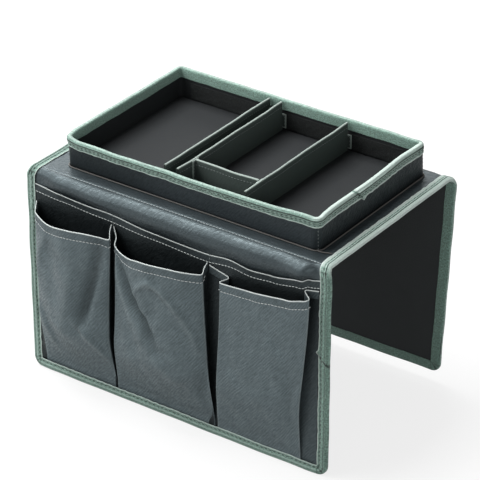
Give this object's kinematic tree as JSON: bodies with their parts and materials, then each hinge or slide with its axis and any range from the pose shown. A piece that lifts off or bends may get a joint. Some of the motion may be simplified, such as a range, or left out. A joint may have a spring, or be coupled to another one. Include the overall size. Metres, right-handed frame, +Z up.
{
  "type": "sofa armrest organizer",
  "caption": "Saddle organizer that hangs over a sofa arm: an open divided tray on top, a front flap with a slip pocket and pleated pockets, and a plain rear flap.",
  "frame": {"origin": "centre of the saddle's underside, which lies on the sofa arm", "axes": "+X along the arm, +Z up, the front flap with the pockets hangs on the -Y side"},
  "size_m": [0.42, 0.2927, 0.309],
  "materials": {
    "leatherette": "satin",
    "pocket_leatherette": "satin",
    "tray_leatherette": "satin",
    "lining_cloth": "matte",
    "binding_tape": "matte",
    "stiffener_card": "matte",
    "divider_cloth": "matte",
    "hook_and_loop": "matte"
  },
  "bodies": {
    "saddle_and_tray": {"front_fold_binding_left": "binding_tape", "front_fold_binding_right": "binding_tape", "front_fold_cover": "leatherette", "front_fold_lining": "lining_cloth", "loop_strip_front": "hook_and_loop", "loop_strip_rear": "hook_and_loop", "rear_fold_binding_left": "binding_tape", "rear_fold_binding_right": "binding_tape", "rear_fold_cover": "leatherette", "rear_fold_lining": "lining_cloth", "top_binding_left": "binding_tape", "top_binding_right": "binding_tape", "top_board": "stiffener_card", "top_cover": "leatherette", "top_lining": "lining_cloth", "tray_base_welt": "tray_leatherette", "tray_floor_board": "stiffener_card", "tray_floor_lining": "lining_cloth", "tray_front_board": "stiffener_card", "tray_left_board": "stiffener_card", "tray_lining": "lining_cloth", "tray_rear_board": "stiffener_card", "tray_right_board": "stiffener_card", "tray_rim_binding": "binding_tape", "tray_skin": "tray_leatherette"},
    "front_flap": {"front_flap_board": "stiffener_card", "front_flap_cover": "leatherette", "front_flap_lining": "lining_cloth", "front_flap_binding": "binding_tape", "slip_pocket": "pocket_leatherette", "pocket_left": "pocket_leatherette", "pocket_middle": "pocket_leatherette", "pocket_right": "pocket_leatherette"},
    "rear_flap": {"rear_flap_board": "stiffener_card", "rear_flap_cover": "leatherette", "rear_flap_lining": "lining_cloth", "rear_flap_binding": "binding_tape"},
    "divider_left": {"divider_left_sleeve": "divider_cloth", "divider_left_core": "stiffener_card", "divider_left_hook_front": "hook_and_loop", "divider_left_hook_rear": "hook_and_loop"},
    "divider_middle": {"divider_middle_sleeve": "divider_cloth", "divider_middle_core": "stiffener_card", "divider_middle_hook_front": "hook_and_loop", "divider_middle_hook_rear": "hook_and_loop"},
    "divider_right": {"divider_right_sleeve": "divider_cloth", "divider_right_core": "stiffener_card", "divider_right_hook_front": "hook_and_loop", "divider_right_hook_rear": "hook_and_loop"},
    "cross_divider": {"cross_divider_sleeve": "divider_cloth", "cross_divider_core": "stiffener_card", "cross_divider_tab_left": "hook_and_loop", "cross_divider_tab_right": "hook_and_loop"}
  },
  "joints": [
    {"name": "front_flap_fold", "type": "hinge", "parent": "saddle_and_tray", "child": "front_flap", "pos_m": [0, -0.12885, 0.00235], "axis": [-1, 0, 0], "range_deg": [-20, 90], "deforming": ["front_fold_cover", "front_fold_lining", "front_fold_binding_left", "front_fold_binding_right"]},
    {"name": "rear_flap_fold", "type": "hinge", "parent": "saddle_and_tray", "child": "rear_flap", "pos_m": [0, 0.12926, 0.00212], "axis": [1, 0, 0], "range_deg": [-15, 94.6], "deforming": ["rear_fold_cover", "rear_fold_lining", "rear_fold_binding_left", "rear_fold_binding_right"]},
    {"name": "divider_left_lift", "type": "slide", "parent": "saddle_and_tray", "child": "divider_left", "axis": [0, 0, 1], "range_m": [0, 0.045]},
    {"name": "divider_middle_lift", "type": "slide", "parent": "saddle_and_tray", "child": "divider_middle", "axis": [0, 0, 1], "range_m": [0, 0.045]},
    {"name": "divider_right_lift", "type": "slide", "parent": "saddle_and_tray", "child": "divider_right", "axis": [0, 0, 1], "range_m": [0, 0.045]},
    {"name": "cross_divider_lift", "type": "slide", "parent": "saddle_and_tray", "child": "cross_divider", "axis": [0, 0, 1], "range_m": [0, 0.045]}
  ]
}
